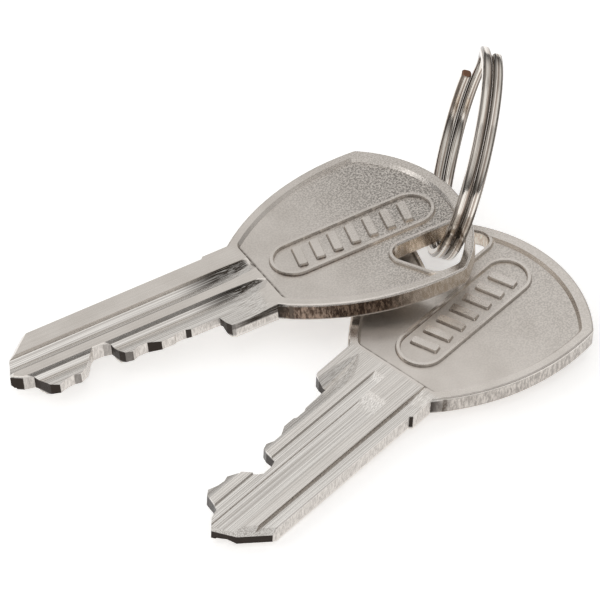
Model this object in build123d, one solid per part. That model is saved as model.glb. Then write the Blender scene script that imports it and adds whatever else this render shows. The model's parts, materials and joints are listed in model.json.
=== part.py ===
from build123d import *
import math
import os

# Two flat keys cut alike, threaded on a split ring and lying on a table.
# Millimetres, +Z up, origin on the table under the middle of the whole set.
#
# A key is drawn in its own frame: x runs from the shoulder (0) towards the bow end,
# y towards the spine (the uncut edge), side A is the plane z = 0 and side B is the
# plane z = -key_thickness.  The same key is placed twice, once turned over.

# ---- key: overall sizes ----
key_thickness = 2.05
blade_length = 21.70          # shoulder to nose
spine_y = 4.20                # blade edge that is never cut
blade_low_y = -4.20           # blade edge before the teeth are cut
neck_spine_y = 4.48
neck_low_y = -6.10
neck_x = 5.12                 # the bow begins to flare here
neck_spine_x = 2.33           # small step down from the neck to the spine
bow_axis_y = -0.80
bow_end_radius = 14.60
bow_end_centre_x = 13.71
flare_radius = 24.17
flare_centre_x = 20.90
flare_offset = 12.91          # flare centres lie this far either side of the bow axis
bow_corner_round = 0.9
bow_edge_round = 0.22

# ---- key: recess in the bow, on both sides ----
rim_flare = 0.95
rim_end = 1.17
recess_start_x = 5.95
recess_depth = 0.36
recess_wall = 0.28            # how far the recess wall leans in by the floor
recess_corner_round = 1.1

# ---- key: raised stadium outline and plain bars inside it ----
stadium_x0 = 7.40
stadium_x1 = 25.68
stadium_half_height = 2.55
ridge_width = 0.42
ridge_drop = 0.03             # raised work stays this far below the rim
bar_count = 7
bar_length = 2.90
bar_width = 0.95
bar_lean = 12.0
side_lean = 0.06              # half the lean of every raised side

# ---- key: hole for the ring ----
hole_top_y = -4.95
hole_bottom_y = -10.90
hole_left_x = 17.25
hole_end_wall = 0.93          # metal left between the hole and the end of the bow
hole_slant = 3.30             # how far the left side runs over from top to bottom
hole_round_inner = 1.45
hole_round_outer = 1.15
hole_lip = 0.45
hole_ease = 0.13

# ---- key: blade ----
tip_slope_run = 3.55          # the spine slopes in over this length before the end
tip_end_y = 1.85              # top of the short end facet
tip_end_run = 1.05            # how far the facet leans back over its height
nose_y = -0.45
tip_bevel_a = 0.40
tip_bevel_b = 0.72
# tooth line from the shoulder towards the nose
teeth = [
    (-0.45, -4.30), (-3.60, -4.14), (-4.10, -3.90), (-5.20, -3.90), (-5.50, -4.12), (-6.85, -4.10),
    (-8.10, -3.42), (-9.15, -3.40), (-9.86, -3.80), (-10.60, -3.50), (-10.95, -2.85), (-11.20, -1.60),
    (-11.95, -1.36), (-13.10, -1.34), (-13.55, -1.68), (-14.80, -3.25), (-15.60, -3.80), (-16.25, -3.56),
    (-17.05, -3.64), (-18.05, -4.08), (-18.85, -3.50), (-19.35, -2.20), (-19.65, -1.60), (-20.70, -1.30),
    (-21.25, -0.85),
]
shoulder = [(neck_x, neck_low_y), (0.35, -6.02), (0.0, -5.90), (-0.28, -5.30)]

# Grooves: outline across the blade as (y, depth), where full depth ends, cutter radius.
grooves_a = [
    ([(1.95, 0.0), (1.83, 0.40), (1.00, 0.70), (0.05, 0.54), (-0.36, 0.0)], 1.0, 28.0),
    ([(-1.42, 0.0), (-1.60, 0.42), (-2.15, 0.60), (-3.20, 0.42), (-6.6, 0.36)], 0.6, 26.0),
]
grooves_b = [
    ([(4.6, 0.20), (3.17, 0.20), (3.12, 0.48), (2.86, 0.48), (2.80, 0.0)], 2.2, 22.0),
    ([(1.66, 0.0), (1.42, 0.42), (-0.80, 0.42), (-0.84, 0.0)], -0.7, 8.0),
    ([(-0.78, 0.0), (-0.80, 0.26), (-2.02, 0.26), (-2.10, 0.0)], 3.4, 1.6),
    ([(-2.95, 0.0), (-3.05, 0.22), (-4.67, 0.80), (-5.60, 0.0)], -0.9, 22.0),
]

# ---- split ring: one wire, two turns side by side ----
wire_radial = 1.00
wire_axial = 1.02
wire_round = 0.34
turn_gap = 0.05
ring_radius = 10.38           # to the middle of the wire
ring_normal_hint = (0.9755, -0.0195, -0.2190)
# angles round the ring, from the top of the loop towards the front
jog_middle = -45.0
jog_front = 20.6
jog_back = 34.0
end_gap = 1.2
end_round = 0.18

# ---- how the set lies ----
upper_azimuth, upper_pitch, upper_roll = 31.09, 4.80, -5.10
lower_azimuth, lower_pitch, lower_roll = 51.19, 2.15, -177.73
upper_under = (-9.525, 1.225, 2.195)      # upper key's frame origin on its under side
lower_over = (6.360, -12.540, 2.755)      # lower key's frame origin on its upper side
# where the ring passes through each hole: direction from the bow end's centre, and the gap kept
# from the hole's end wall; the lean of the ring through the plate takes its own share
upper_thread_angle = -32.97
upper_thread_gap = 0.05
lower_thread_angle = -41.38
lower_thread_gap = 1.25
lean_share = 0.25


def face_of(points):
    """A flat face with straight sides through the points."""
    return make_face(Polyline(*points, close=True))


def bow_face(in_flare, in_end, left_x):
    """Bow outline: what two flare discs and the end disc share, right of left_x."""
    end = Pos(bow_end_centre_x, bow_axis_y) * Circle(bow_end_radius - in_end)
    flare_up = Pos(flare_centre_x, bow_axis_y - flare_offset) * Circle(flare_radius - in_flare)
    flare_down = Pos(flare_centre_x, bow_axis_y + flare_offset) * Circle(flare_radius - in_flare)
    right_part = Pos(left_x + 50, bow_axis_y) * Rectangle(100, 100)
    return end & flare_up & flare_down & right_part


def round_corners(sketch, radius, near_x=None):
    """Round the corners of a flat outline, or only those right of near_x."""
    corners = sketch.vertices()
    if near_x is not None:
        corners = [v for v in corners if v.X > near_x]
    return fillet(corners, radius)


def slab(sketch, z_top, depth):
    """The outline as a plate whose upper face is at z_top."""
    return Pos(0, 0, z_top - depth) * extrude(sketch, depth)


def tip_line():
    """The blade's end: spine corner, top of the end facet, nose."""
    return [
        (-blade_length + tip_slope_run, spine_y),
        (-blade_length + tip_end_run, tip_end_y),
        (-blade_length, nose_y),
    ]


def blank():
    """Bow, neck and blade as one plate, before any cutting."""
    bow = round_corners(bow_face(0, 0, neck_spine_x), bow_corner_round, near_x=neck_x + 5)
    bow_plate = slab(bow, 0, key_thickness)
    levels = bow_plate.faces().sort_by(Axis.Z)
    bow_plate = fillet(levels[-1].edges() + levels[0].edges(), bow_edge_round)
    uncut_y = blade_low_y - 0.2
    blade_points = [(neck_x, neck_spine_y), (neck_spine_x, neck_spine_y), (neck_spine_x - 0.25, spine_y)]
    blade_points += tip_line()
    blade_points += [(-blade_length, uncut_y), (-0.45, uncut_y)]
    blade_points += shoulder[::-1]
    return bow_plate + slab(face_of(blade_points), 0, key_thickness)


def tooth_cut():
    """Everything below the tooth line, as a tool that goes through the plate."""
    outside = [(-blade_length - 3, nose_y), (-blade_length - 3, -9.0), (-0.45, -9.0)]
    tool = make_face(Polyline(*teeth, (-blade_length, nose_y), *outside, close=True))
    return slab(tool, 1.0, key_thickness + 2.0)


def tip_bevel(start, stop, size):
    """A wedge that takes the edge of side A off between two points of the tip."""
    length = math.hypot(stop[0] - start[0], stop[1] - start[1])
    angle = math.degrees(math.atan2(start[1] - stop[1], start[0] - stop[0]))
    wedge = Polyline((size, 1.0), (size, 0.0), (0, -size), (-1.0, -size), (-1.0, 1.0), close=True)
    bar = extrude(make_face(Plane.YZ * wedge), length + 2.0, both=True)
    return Pos(stop[0], stop[1], 0) * Rot(Z=angle) * mirror(bar, about=Plane.XZ)


def groove(points, full_x, cutter):
    """A milled groove in side A: full depth up to full_x, then it rises as the cutter leaves."""
    ring = [(y, -depth) for y, depth in points]
    ring.append((points[-1][0], 0.3))
    ring.append((points[0][0], 0.3))
    profile = Pos(full_x, 0, 0) * (Plane.YZ * make_face(Polyline(*ring, close=True)))
    straight = extrude(profile, -(full_x + blade_length + 2.0))
    leave = revolve(profile, axis=Axis((full_x, 0, cutter), (0, -1, 0)), revolution_arc=34)
    return straight + leave


def recess_tool():
    """The recess of side A: outline at the face, a smaller one at the floor."""
    mouth = bow_face(rim_flare, rim_end, recess_start_x)
    mouth = round_corners(mouth, recess_corner_round)
    lean = recess_wall
    floor = bow_face(rim_flare + lean, rim_end + lean, recess_start_x + lean * 0.4)
    floor = round_corners(floor, recess_corner_round - lean * 0.5)
    return loft([mouth.face(), Pos(0, 0, -recess_depth) * floor.face()], ruled=True)


def hole_face(grow=0.0):
    """The ring's hole: three straight sides, the fourth follows the end of the bow."""
    bound = bow_end_radius - hole_end_wall
    left, right, top, bottom = hole_left_x, bow_end_centre_x + bound, hole_top_y, hole_bottom_y
    shape = face_of([(left, top), (right, top), (right, bottom), (left + hole_slant, bottom)])
    inner_corners = shape.vertices().sort_by(Axis.X)[:2]
    shape = fillet(inner_corners, hole_round_inner)
    shape = shape & Pos(bow_end_centre_x, bow_axis_y) * Circle(bound)
    centre = Vector(bow_end_centre_x, bow_axis_y, 0)
    on_bound = [v for v in shape.vertices() if abs((Vector(v.X, v.Y, 0) - centre).length - bound) < 0.001]
    shape = fillet(on_bound, hole_round_outer)
    if grow:
        shape = offset(shape, grow)
    return shape


def drafted(bottom, top, z_bottom, z_top):
    """A block whose sides lean from one outline to another."""
    return loft([Pos(0, 0, z_bottom) * bottom.face(), Pos(0, 0, z_top) * top.face()], ruled=True)


def slot_block(inset, lean, z_bottom, z_top):
    """A block with the stadium's outline, its sides leaning in (or out) on the way up."""
    middle_x = (stadium_x0 + stadium_x1) / 2
    outlines = []
    for cut in (inset - lean, inset + lean):
        length = stadium_x1 - stadium_x0 - 2 * cut
        outlines.append(Pos(middle_x, bow_axis_y) * SlotOverall(length, 2 * (stadium_half_height - cut)))
    return drafted(outlines[0], outlines[1], z_bottom, z_top)


def raised_work():
    """Stadium outline, plain bars and the lip round the hole, standing on the recess floor."""
    floor = -recess_depth
    top = -ridge_drop
    inner = slot_block(ridge_width, -side_lean, floor - 0.01, top + 0.01)
    work = [slot_block(0, side_lean, floor, top) - inner]
    middle_x = (stadium_x0 + stadium_x1) / 2
    pitch = (stadium_x1 - stadium_x0 - 4.2) / bar_count
    for i in range(bar_count):
        sizes = [(bar_width + 2 * s, bar_length + 2 * s) for s in (side_lean, -side_lean)]
        low, high = [RectangleRounded(w, h, 0.2) for w, h in sizes]
        place = Pos(middle_x + (i - (bar_count - 1) / 2) * pitch, bow_axis_y) * Rot(Z=-bar_lean)
        work.append(place * drafted(low, high, floor, top))
    lip = drafted(hole_face(hole_lip + side_lean), hole_face(hole_lip - side_lean), floor, top)
    inside_rim = slab(bow_face(rim_flare, rim_end, recess_start_x), 0.0, recess_depth)
    work.append(lip & inside_rim)
    return work


def hole_tool():
    """The hole right through, its mouth eased on both sides."""
    through = slab(hole_face(), 1.0, key_thickness + 2.0)
    mouth = drafted(hole_face(), hole_face(hole_ease), -ridge_drop - hole_ease * 1.4, 0.02)
    return through + mouth + mirror(mouth, about=Plane.XY.offset(-key_thickness / 2))


def key():
    """The finished key in its own frame."""
    over = Plane.XY.offset(-key_thickness / 2)
    body = blank() - tooth_cut()
    tip = tip_line()
    for start, stop in zip(tip, tip[1:]):
        body -= tip_bevel(start, stop, tip_bevel_a)
        body -= mirror(tip_bevel(start, stop, tip_bevel_b), about=over)
    for points, full_x, cutter in grooves_a:
        body -= groove(points, full_x, cutter)
    for points, full_x, cutter in grooves_b:
        body -= mirror(groove(points, full_x, cutter), about=over)
    recess = recess_tool()
    body = body - recess - mirror(recess, about=over)
    for piece in raised_work():
        body = body + piece + mirror(piece, about=over)
    return body - hole_tool()


def wire_section(angle, shift):
    """The wire's outline at one angle round the ring, shift along the ring's axis."""
    turn = math.radians(angle)
    out = Vector(math.cos(turn), math.sin(turn), 0)
    along = Vector(-math.sin(turn), math.cos(turn), 0)
    plane = Plane(origin=out * ring_radius + Vector(0, 0, shift), x_dir=out, z_dir=along)
    return plane * RectangleRounded(wire_radial, wire_axial, wire_round)


def strand(shift, start, stop, blunt_at_start):
    """One turn of the wire, its free end softened."""
    section = wire_section(start, shift)
    arc = revolve(section, axis=Axis.Z, revolution_arc=stop - start)
    free_angle = start if blunt_at_start else stop
    centre = wire_section(free_angle, shift).center()
    free_end = min(arc.faces(), key=lambda face: (face.center() - centre).length)
    return fillet(free_end.edges(), end_round)


def split_ring():
    """The wire in the ring's own frame: axis +Z, angle 0 at the middle of the cross-over."""
    side = (wire_axial + turn_gap) / 2
    turn_end = 360 - jog_back
    right = strand(side, jog_front + end_gap, turn_end, True)
    left = strand(-side, jog_front, turn_end - end_gap, False)
    sections = []
    for i in range(13):
        part = i / 12
        ease = part * part * (3 - 2 * part)
        angle = -jog_back + part * (jog_front + jog_back)
        sections.append(wire_section(angle, side * (1 - 2 * ease)).face())
    return right + loft(sections) + left


def key_location(origin, azimuth, pitch, roll):
    """A key's frame: its x axis turned to the azimuth, raised by the pitch, rolled about itself."""
    return Pos(*origin) * Rot(Z=azimuth) * Rot(Y=-pitch) * Rot(X=roll)


def thread_point(angle, gap):
    """Where the middle of the ring's wire pair crosses a key, half-way through the plate."""
    pair = (2 * wire_axial + turn_gap) / 2
    wall = bow_end_radius - hole_end_wall
    reach = wall - pair - gap - lean_share * key_thickness
    turn = math.radians(angle)
    x = bow_end_centre_x + reach * math.cos(turn)
    y = bow_axis_y + reach * math.sin(turn)
    return Pos(x, y, -key_thickness / 2)


def rest_poses():
    """Where each key and the ring lie before the whole set is centred."""
    upper = key_location(upper_under, upper_azimuth, upper_pitch, upper_roll)
    upper = upper * Pos(0, 0, key_thickness)
    lower = key_location(lower_over, lower_azimuth, lower_pitch, lower_roll)
    lower = lower * Pos(0, 0, key_thickness)
    through_upper = (upper * thread_point(upper_thread_angle, upper_thread_gap)).position
    through_lower = (lower * thread_point(lower_thread_angle, lower_thread_gap)).position
    # The ring's middle line passes through both thread points; its axis stays near the hint.
    chord = through_lower - through_upper
    along = chord.normalized()
    hint = Vector(*ring_normal_hint)
    normal = (hint - along * hint.dot(along)).normalized()
    inward = normal.cross(along)
    reach = math.sqrt(ring_radius**2 - (chord.length / 2) ** 2)
    centre = (through_upper + through_lower) * 0.5 + inward * reach
    up = (Vector(0, 0, 1) - normal * normal.Z).normalized()
    crest = up.rotate(Axis((0, 0, 0), tuple(normal)), jog_middle)
    ring = Plane(origin=centre, x_dir=crest, z_dir=normal).location
    return upper, lower, ring, centre, normal


def main():
    """Build the three pieces, lay them out, centre them on the table and write them."""
    upper, lower, ring, centre, normal = rest_poses()
    the_key = key()
    pieces = {
        "upper_key": upper * the_key,
        "lower_key": lower * the_key,
        "split_ring": ring * split_ring(),
    }
    box = Compound(list(pieces.values())).bounding_box()
    shift = Vector(-box.center().X, -box.center().Y, -box.min.Z)
    os.makedirs("parts", exist_ok=True)
    for name, piece in pieces.items():
        placed = Pos(shift) * piece
        solid = placed.solids()[0]
        export_step(solid, "parts/" + name + ".step")
        print(name, len(placed.solids()), round(solid.volume, 2), solid.is_valid)
    hinge = centre + shift
    print("ring axis through", [round(c, 4) for c in hinge])
    print("ring axis along", [round(c, 6) for c in normal])
    print("shift", [round(c, 3) for c in shift], "size", box.size)


main()
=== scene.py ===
import json
import math
import bpy
from mathutils import Matrix, Vector

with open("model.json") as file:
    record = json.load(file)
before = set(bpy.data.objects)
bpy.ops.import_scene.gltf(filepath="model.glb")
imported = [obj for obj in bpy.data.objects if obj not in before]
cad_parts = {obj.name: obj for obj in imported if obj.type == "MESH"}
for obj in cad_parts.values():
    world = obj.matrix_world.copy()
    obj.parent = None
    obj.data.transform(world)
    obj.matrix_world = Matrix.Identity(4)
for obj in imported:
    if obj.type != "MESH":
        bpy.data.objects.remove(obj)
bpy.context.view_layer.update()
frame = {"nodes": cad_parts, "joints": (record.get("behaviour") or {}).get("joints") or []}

# Two plated keys on a split ring.  The CAD solids carry the whole shape; this script gives them
# their metal, the floor, the light and the camera.  Blender is in metres, the frame's own unit.

MM = 0.001

# ---- the keys' own frames (origin on side A, x to the bow end, y to the spine) ----
KEY_THICKNESS = 2.05
# azimuth, pitch and roll in degrees, then the frame's origin in millimetres
KEY_FRAMES = {
    "upper_key": ((31.09, 4.80, -5.10), (-10.080, 2.468, 4.668)),
    "lower_key": ((51.19, 2.15, -177.73), (6.031, -11.254, 1.146)),
}
RECESS_START_X = 5.95
RECESS_DEPTH = 0.36
SIDE_BLEND = 0.1          # width of the change from side B's marks to side A's, half-way through
BOW_GRAIN_X = (9.0, 26.0)         # the blasted grain grows stronger between these
DARK_WALL_X = (14.0, 20.0)        # the bow's wall turns from a painted dark reflection to a warm one between these
SPINE_WALL_Y = (-3.0, 0.0)        # and to a painted grey reflection towards the spine
CUTTER_EXIT_X = (-3.0, 2.5)       # side A's grooves get a painted dark reflection between these

# ---- colours: pairs are the darker and the lighter end of a mix ----
PLATE = ((0.71, 0.665, 0.62), (0.78, 0.735, 0.69))
DUST = ((0.17, 0.155, 0.14), (0.72, 0.68, 0.64))
CUT_LINES = ((0.50, 0.475, 0.45), (0.90, 0.88, 0.85))
CUT_DULL = (0.42, 0.40, 0.37)
# painted reflection on the bow's walls: dark, warm and grey, each over the wall's own mottled tone
WALL_DARK_REFLECTION = ((0.06, 0.04, 0.03), (0.30, 0.225, 0.175))
WALL_WARM_REFLECTION = ((0.66, 0.57, 0.47), (0.88, 0.81, 0.73))
WALL_GREY_REFLECTION = ((0.34, 0.31, 0.285), (0.62, 0.58, 0.54))
TOOTH_WALL = ((0.50, 0.465, 0.435), (0.74, 0.70, 0.66))
TOOTH_SHADE = (0.035, 0.028, 0.024)
# painted dark reflection where side A's grooves run out
EXIT_DARK_REFLECTION = (0.035, 0.028, 0.022)
# painted shade with grime along the recess's inner step
STEP_SHADE_AND_GRIME = (0.10, 0.08, 0.065)
STEEL = ((0.34, 0.27, 0.225), (0.90, 0.86, 0.80))
CORNER_DARK_REFLECTION = (0.06, 0.045, 0.035)
WIRE_END = (0.22, 0.12, 0.08)
WIRE_MARKS = 5000.0       # drawing marks per metre across the wire
PAPER = ((0.93, 0.93, 0.93), (0.95, 0.95, 0.95))
WHITE = (1.0, 1.0, 1.0)
ROOM_TINT = (1.0, 0.985, 0.965)

# ---- camera ----
CAMERA_AIM = Vector((-0.463, 3.468, 2.927)) * MM
CAMERA_DISTANCE = 508.22 * MM
CAMERA_ELEVATION = 42.769
CAMERA_ROLL = 2.52
CAMERA_LENS = 307.8
SENSOR = 36.0

# ---- floor and room brightness ----
FLOOR_HALF = 3.0
FLOOR_GLOW = 0.42
ROOM_LOW = 0.14
ROOM_HIGH = 0.74
ROOM_RIGHT = 0.80
ROOM_TOP = 0.80


# ------------------------------------------------------------------ node helpers
class Graph:
    """A node tree with short calls for the nodes used here."""

    def __init__(self, owner):
        owner.use_nodes = True
        self.owner = owner
        self.tree = owner.node_tree
        self.tree.nodes.clear()

    def node(self, kind, **settings):
        made = self.tree.nodes.new(kind)
        for key, value in settings.items():
            setattr(made, key, value)
        return made

    def link(self, source, target):
        self.tree.links.new(source, target)

    def put(self, socket, value):
        """A number, a colour or another node's output into a socket."""
        if isinstance(value, bpy.types.NodeSocket):
            self.link(value, socket)
        else:
            socket.default_value = value

    def math(self, operation, a, b=0.0):
        made = self.node("ShaderNodeMath", operation=operation)
        self.put(made.inputs[0], a)
        self.put(made.inputs[1], b)
        return made.outputs[0]

    def product(self, first, *others):
        for other in others:
            first = self.math("MULTIPLY", first, other)
        return first

    def step(self, value, start, stop, low=0.0, high=1.0):
        """Goes smoothly from low to high as value goes from start to stop."""
        made = self.node("ShaderNodeMapRange", interpolation_type="SMOOTHSTEP")
        self.put(made.inputs["Value"], value)
        made.inputs["From Min"].default_value = start
        made.inputs["From Max"].default_value = stop
        made.inputs["To Min"].default_value = low
        made.inputs["To Max"].default_value = high
        return made.outputs["Result"]

    def dot(self, vector, direction):
        made = self.node("ShaderNodeVectorMath", operation="DOT_PRODUCT")
        self.put(made.inputs[0], vector)
        self.put(made.inputs[1], direction)
        return made.outputs["Value"]

    def noise(self, vector, scale, detail=3.0, rough=0.55):
        made = self.node("ShaderNodeTexNoise")
        self.put(made.inputs["Vector"], vector)
        made.inputs["Scale"].default_value = scale
        made.inputs["Detail"].default_value = detail
        made.inputs["Roughness"].default_value = rough
        return made.outputs["Fac"]

    def stretch(self, vector, scale):
        made = self.node("ShaderNodeVectorMath", operation="MULTIPLY")
        self.put(made.inputs[0], vector)
        self.put(made.inputs[1], scale)
        return made.outputs[0]

    def mix(self, factor, first, second):
        """Colour mix, first at 0 and second at 1."""
        made = self.node("ShaderNodeMix", data_type="RGBA")
        self.put(made.inputs[0], factor)
        self.put(made.inputs[6], first)
        self.put(made.inputs[7], second)
        return made.outputs[2]

    def shade(self, value, start, stop, pair):
        """A pair of colours mixed as value goes from start to stop."""
        return self.mix(self.step(value, start, stop), rgb(*pair[0]), rgb(*pair[1]))

    def bump(self, height, distance, strength=1.0, below=None):
        made = self.node("ShaderNodeBump")
        self.put(made.inputs["Strength"], strength)
        made.inputs["Distance"].default_value = distance
        self.put(made.inputs["Height"], height)
        if below is not None:
            self.link(below, made.inputs["Normal"])
        return made.outputs["Normal"]

    def finish(self, colour, roughness, normal, metallic=1.0):
        shader = self.node("ShaderNodeBsdfPrincipled")
        self.put(shader.inputs["Base Color"], colour)
        self.put(shader.inputs["Roughness"], roughness)
        shader.inputs["Metallic"].default_value = metallic
        if normal is not None:
            self.link(normal, shader.inputs["Normal"])
        out = self.node("ShaderNodeOutputMaterial")
        self.link(shader.outputs[0], out.inputs["Surface"])
        return self.owner


def rgb(red, green, blue):
    return (red, green, blue, 1.0)


# ------------------------------------------------------------------ materials
def key_rotation(angles):
    """The key's axes in the row frame, as a rotation matrix."""
    azimuth, pitch, roll = [math.radians(a) for a in angles]
    turn = Matrix.Rotation(azimuth, 3, "Z") @ Matrix.Rotation(-pitch, 3, "Y")
    return turn @ Matrix.Rotation(roll, 3, "X")


def key_coordinates(g, angles, origin):
    """A point's place in the key's frame in millimetres, and how far it faces tip, teeth and side."""
    rotation = key_rotation(angles)
    coords = g.node("ShaderNodeTexCoord")
    local = g.node("ShaderNodeMapping", vector_type="TEXTURE")
    g.link(coords.outputs["Object"], local.inputs["Vector"])
    local.inputs["Location"].default_value = Vector(origin) * MM
    local.inputs["Rotation"].default_value = rotation.to_euler("XYZ")
    local.inputs["Scale"].default_value = (MM, MM, MM)
    normal = coords.outputs["Normal"]
    to_tip = g.dot(normal, -rotation.col[0])
    to_teeth = g.dot(normal, -rotation.col[1])
    flatness = g.math("ABSOLUTE", g.dot(normal, rotation.col[2]))
    return local.outputs[0], to_tip, to_teeth, flatness


def key_marks(g, place):
    """The noises that the finish is made of."""
    return {
        "grain": g.noise(place, 5.2, 4.0, 0.72),
        "coarse": g.noise(place, 2.1, 2.0, 0.5),
        "cloud": g.noise(place, 0.23, 2.0, 0.5),
        # lines along the blade, and upright marks on the walls
        "fine": g.noise(g.stretch(place, (0.03, 13.0, 13.0)), 1.0, 2.0, 0.6),
        "broad": g.noise(g.stretch(place, (0.04, 5.0, 5.0)), 1.0, 1.0, 0.5),
        "upright": g.noise(g.stretch(place, (3.6, 3.6, 1.1)), 1.0, 5.0, 0.75),
    }


def key_masks(g, x, z, to_teeth, flatness):
    """Where each finish, painted reflection and painted shade lies: 0 to 1 over the key."""
    half = KEY_THICKNESS / 2
    depth = g.math("SUBTRACT", half, g.math("ABSOLUTE", g.math("ADD", z, half)))
    in_bow = g.step(x, RECESS_START_X, RECESS_START_X + 0.2)
    deep = g.step(depth, RECESS_DEPTH * 0.55, RECESS_DEPTH * 0.9)
    recess = g.product(deep, g.step(flatness, 0.86, 0.97), in_bow)
    side = g.product(g.step(flatness, 0.62, 0.3), g.step(depth, 0.1, 0.4))
    blade = g.step(x, RECESS_START_X, RECESS_START_X - 0.6)

    def by_side(on_b, on_a):
        return g.step(z, -half - SIDE_BLEND, -half + SIDE_BLEND, on_b, on_a)

    grain = g.math("MAXIMUM", recess, g.math("MULTIPLY", in_bow, 0.35))
    toward_end = g.step(x, *BOW_GRAIN_X, 0.15, 1.0)
    lines = g.math("MAXIMUM", by_side(0.7, 0.2), g.step(depth, 0.03, 0.2))
    leaving = g.step(x, *CUTTER_EXIT_X)
    # painted dark reflection on side A's groove walls that face the teeth, where the grooves run out
    exit_reflection = g.product(g.step(to_teeth, 0.05, 0.2), by_side(0.0, 1.0), leaving, blade)
    # the recess's inner step, darkened with painted shade and grime
    corner = g.product(g.step(x, RECESS_START_X - 0.1, RECESS_START_X), g.step(depth, 0.08, 0.3))
    return {
        "recess": recess,
        "side": side,
        "bow_side": g.product(side, g.step(x, RECESS_START_X - 1.2, RECESS_START_X + 0.8)),
        "grain": g.product(grain, toward_end, by_side(0.4, 1.0)),
        "milled": g.product(blade, lines),
        "exit_reflection": g.product(exit_reflection, g.step(depth, 0.02, 0.08)),
        "step_shade_and_grime": g.product(corner, g.step(x, RECESS_START_X + 0.5, RECESS_START_X + 0.2)),
    }


def key_colour(g, x, y, to_tip, mark, mask):
    """Plate with dusty grain, cutter lines on the blade, painted dark and warm reflections on the bow's
    walls, painted shade on tooth facets facing the tip, painted dark reflection at the grooves' ends
    and painted shade with grime at the recess's step.
    """
    plate = g.shade(mark["cloud"], 0.35, 0.65, PLATE)
    dusty = g.shade(mark["grain"], 0.44, 0.56, DUST)
    plate = g.mix(g.product(mask["grain"], 0.85), plate, dusty)
    cut = g.shade(mark["fine"], 0.36, 0.6, CUT_LINES)
    cut = g.mix(g.step(mark["broad"], 0.58, 0.72, 0.0, 0.45), cut, rgb(*CUT_DULL))
    plate = g.mix(g.product(mask["milled"], 0.8), plate, cut)

    # the bow's walls: their own mottled tone, with painted reflection that is dark in the middle, warm
    # towards the end and grey towards the spine
    dark_wall = g.shade(mark["upright"], 0.42, 0.62, WALL_DARK_REFLECTION)
    warm_wall = g.shade(mark["upright"], 0.38, 0.62, WALL_WARM_REFLECTION)
    grey_wall = g.shade(mark["upright"], 0.38, 0.62, WALL_GREY_REFLECTION)
    wall = g.mix(g.step(x, *DARK_WALL_X), dark_wall, warm_wall)
    wall = g.mix(g.step(y, *SPINE_WALL_Y), wall, grey_wall)
    tooth_wall = g.shade(mark["upright"], 0.35, 0.65, TOOTH_WALL)
    # painted shade on tooth facets that face the tip
    tooth_wall = g.mix(g.step(to_tip, 0.2, 0.45), tooth_wall, rgb(*TOOTH_SHADE))
    plate = g.mix(mask["side"], plate, tooth_wall)
    plate = g.mix(mask["bow_side"], plate, wall)

    # painted dark reflection at the grooves' ends, broken into streaks by the cutter lines
    streaky = g.step(mark["fine"], 0.66, 0.45, 0.6, 1.0)
    plate = g.mix(g.product(mask["exit_reflection"], streaky), plate, rgb(*EXIT_DARK_REFLECTION))
    # painted shade with patchy grime along the recess's step
    patchy = g.step(mark["coarse"], 0.35, 0.6, 0.5, 0.95)
    return g.mix(g.product(mask["step_shade_and_grime"], patchy), plate, rgb(*STEP_SHADE_AND_GRIME))


def key_metal(name, angles, origin):
    """Nickel plate: grained in the bow's recess, smoother on the rim, milled along the blade."""
    g = Graph(bpy.data.materials.new(name))
    place, to_tip, to_teeth, flatness = key_coordinates(g, angles, origin)
    split = g.node("ShaderNodeSeparateXYZ")
    g.link(place, split.inputs[0])
    x, y, z = split.outputs
    mark = key_marks(g, place)
    mask = key_masks(g, x, z, to_teeth, flatness)
    colour = key_colour(g, x, y, to_tip, mark, mask)

    rough = g.math("ADD", 0.22, g.product(mask["recess"], 0.14))
    rough = g.math("ADD", rough, g.product(g.step(mark["coarse"], 0.3, 0.7), 0.05))
    normal = g.bump(mark["grain"], 0.05 * MM, g.product(mask["grain"], 0.6))
    normal = g.bump(mark["fine"], 0.02 * MM, g.product(mask["milled"], 0.5), normal)
    normal = g.bump(mark["upright"], 0.04 * MM, g.product(mask["side"], 0.4), normal)
    return g.finish(colour, rough, normal)


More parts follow.
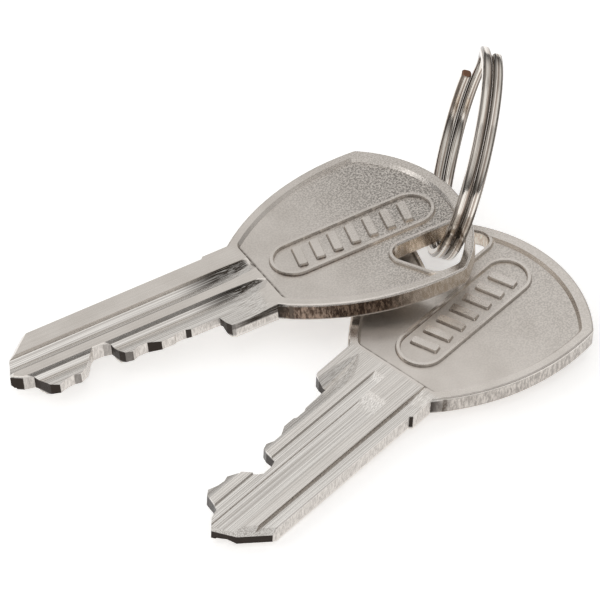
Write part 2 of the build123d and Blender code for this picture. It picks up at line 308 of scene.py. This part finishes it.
def ring_metal(name, axis, centre):
    """Polished wire with drawing marks along it, painted dark reflection on its rounded corners, and
    brown cut ends.
    """
    g = Graph(bpy.data.materials.new(name))
    coords = g.node("ShaderNodeTexCoord")
    offset = g.node("ShaderNodeVectorMath", operation="SUBTRACT")
    g.link(coords.outputs["Object"], offset.inputs[0])
    offset.inputs[1].default_value = centre
    tangent = g.node("ShaderNodeVectorMath", operation="CROSS_PRODUCT")
    g.link(offset.outputs[0], tangent.inputs[1])
    tangent.inputs[0].default_value = axis
    unit = g.node("ShaderNodeVectorMath", operation="NORMALIZE")
    g.link(tangent.outputs[0], unit.inputs[0])
    end = g.step(g.math("ABSOLUTE", g.dot(coords.outputs["Normal"], unit.outputs[0])), 0.6, 0.9)

    radius = g.node("ShaderNodeVectorMath", operation="LENGTH")
    g.link(tangent.outputs[0], radius.inputs[0])
    across = g.dot(offset.outputs[0], axis)
    lay = g.node("ShaderNodeCombineXYZ")
    g.link(g.product(radius.outputs["Value"], WIRE_MARKS), lay.inputs[0])
    g.link(g.product(across, WIRE_MARKS), lay.inputs[1])
    g.link(g.noise(offset.outputs[0], 90.0), lay.inputs[2])
    marks = g.noise(lay.outputs[0], 1.0, 2.0, 0.6)
    cloud = g.noise(offset.outputs[0], 210.0, 2.0, 0.5)

    steel = g.shade(marks, 0.38, 0.55, STEEL)
    # painted dark reflection on the wire's rounded corners, found by how far the surface faces along
    # the ring's axis
    axial = g.math("ABSOLUTE", g.dot(coords.outputs["Normal"], axis))
    rounded = g.product(g.step(axial, 0.12, 0.4), g.step(axial, 0.985, 0.88))
    steel = g.mix(g.product(rounded, 0.7), steel, rgb(*CORNER_DARK_REFLECTION))
    steel = g.mix(end, steel, rgb(*WIRE_END))
    rough = g.math("ADD", 0.10, g.math("MULTIPLY", g.step(cloud, 0.3, 0.7), 0.07))
    normal = g.bump(marks, 0.01 * MM, 0.35)
    return g.finish(steel, rough, normal)


def dress(name, material):
    """Gives a CAD node its material in every slot."""
    node = frame["nodes"][name]
    if not node.material_slots:
        node.data.materials.append(material)
    for slot in node.material_slots:
        slot.material = material


for node_name, (angles, origin) in KEY_FRAMES.items():
    dress(node_name, key_metal(node_name + "_plate", angles, origin))

ring_joint = next(j for j in frame["joints"] if j["name"] == "ring_turn")
ring_axis = Vector(ring_joint["axis"]).normalized()
dress("split_ring", ring_metal("ring_wire", ring_axis, Vector(ring_joint["pos_m"])))


# ------------------------------------------------------------------ stage, light, camera
def floor():
    """A plain pale sheet under the keys, faintly bright by itself so that shadows stay soft."""
    mesh = bpy.data.meshes.new("floor")
    corners = [(x * FLOOR_HALF, y * FLOOR_HALF, 0) for x, y in ((-1, -1), (1, -1), (1, 1), (-1, 1))]
    mesh.from_pydata(corners, [], [(0, 1, 2, 3)])
    sheet = bpy.data.objects.new("floor", mesh)
    bpy.context.scene.collection.objects.link(sheet)
    g = Graph(bpy.data.materials.new("floor_paper"))
    coords = g.node("ShaderNodeTexCoord")
    tooth = g.noise(coords.outputs["Object"], 900.0)
    paper = g.finish(g.mix(tooth, rgb(*PAPER[0]), rgb(*PAPER[1])), 0.9, None, metallic=0.0)
    shader = next(n for n in g.tree.nodes if n.type == "BSDF_PRINCIPLED")
    shader.inputs["Emission Color"].default_value = rgb(*WHITE)
    shader.inputs["Emission Strength"].default_value = FLOOR_GLOW
    mesh.materials.append(paper)


def softbox(name, azimuth, elevation, distance, width, height, power):
    """A rectangular light looking at the origin; azimuth 0 is the camera's side, 90 is +X."""
    light = bpy.data.lights.new(name, "AREA")
    light.shape = "RECTANGLE"
    light.size = width
    light.size_y = height
    light.energy = power
    lamp = bpy.data.objects.new(name, light)
    a, e = math.radians(azimuth), math.radians(elevation)
    place = Vector((math.sin(a) * math.cos(e), -math.cos(a) * math.cos(e), math.sin(e))) * distance
    lamp.location = place
    lamp.rotation_euler = (-place).to_track_quat("-Z", "Y").to_euler()
    bpy.context.scene.collection.objects.link(lamp)


def camera():
    data = bpy.data.cameras.new("camera")
    data.lens = CAMERA_LENS
    data.sensor_width = SENSOR
    data.clip_start = 0.01
    data.clip_end = 20.0
    cam = bpy.data.objects.new("camera", data)
    e = math.radians(CAMERA_ELEVATION)
    back = Vector((0, -math.cos(e), math.sin(e)))
    tilt = Matrix.Rotation(math.pi / 2 - e, 4, "X")
    roll = Matrix.Rotation(math.radians(CAMERA_ROLL), 4, "Z")
    cam.matrix_world = Matrix.Translation(CAMERA_AIM + back * CAMERA_DISTANCE) @ tilt @ roll
    bpy.context.scene.collection.objects.link(cam)
    bpy.context.scene.camera = cam


def studio():
    """A pale room: dim near the horizon, bright above it, a little dimmer overhead and to the right."""
    world = bpy.data.worlds.new("studio")
    bpy.context.scene.world = world
    g = Graph(world)
    coords = g.node("ShaderNodeTexCoord")
    split = g.node("ShaderNodeSeparateXYZ")
    g.link(coords.outputs["Generated"], split.inputs[0])
    across, _, up = split.outputs
    height = g.step(up, 0.05, 0.50, ROOM_LOW, ROOM_HIGH)
    sideways = g.step(across, -0.2, 0.7, 1.0, ROOM_RIGHT)
    overhead = g.step(up, 0.62, 0.80, 1.0, ROOM_TOP)
    background = g.node("ShaderNodeBackground")
    g.put(background.inputs["Color"], rgb(*ROOM_TINT))
    g.put(background.inputs["Strength"], g.product(height, sideways, overhead))
    out = g.node("ShaderNodeOutputWorld")
    g.link(background.outputs[0], out.inputs["Surface"])


floor()
softbox("overhead", 200, 82, 1.2, 1.4, 1.4, 2.2)
softbox("left_fill", -80, 30, 0.9, 0.4, 0.5, 0.7)
softbox("front_fill", -10, 58, 1.1, 0.9, 0.5, 0.5)
studio()
bpy.context.scene.view_settings.view_transform = "Standard"
camera()
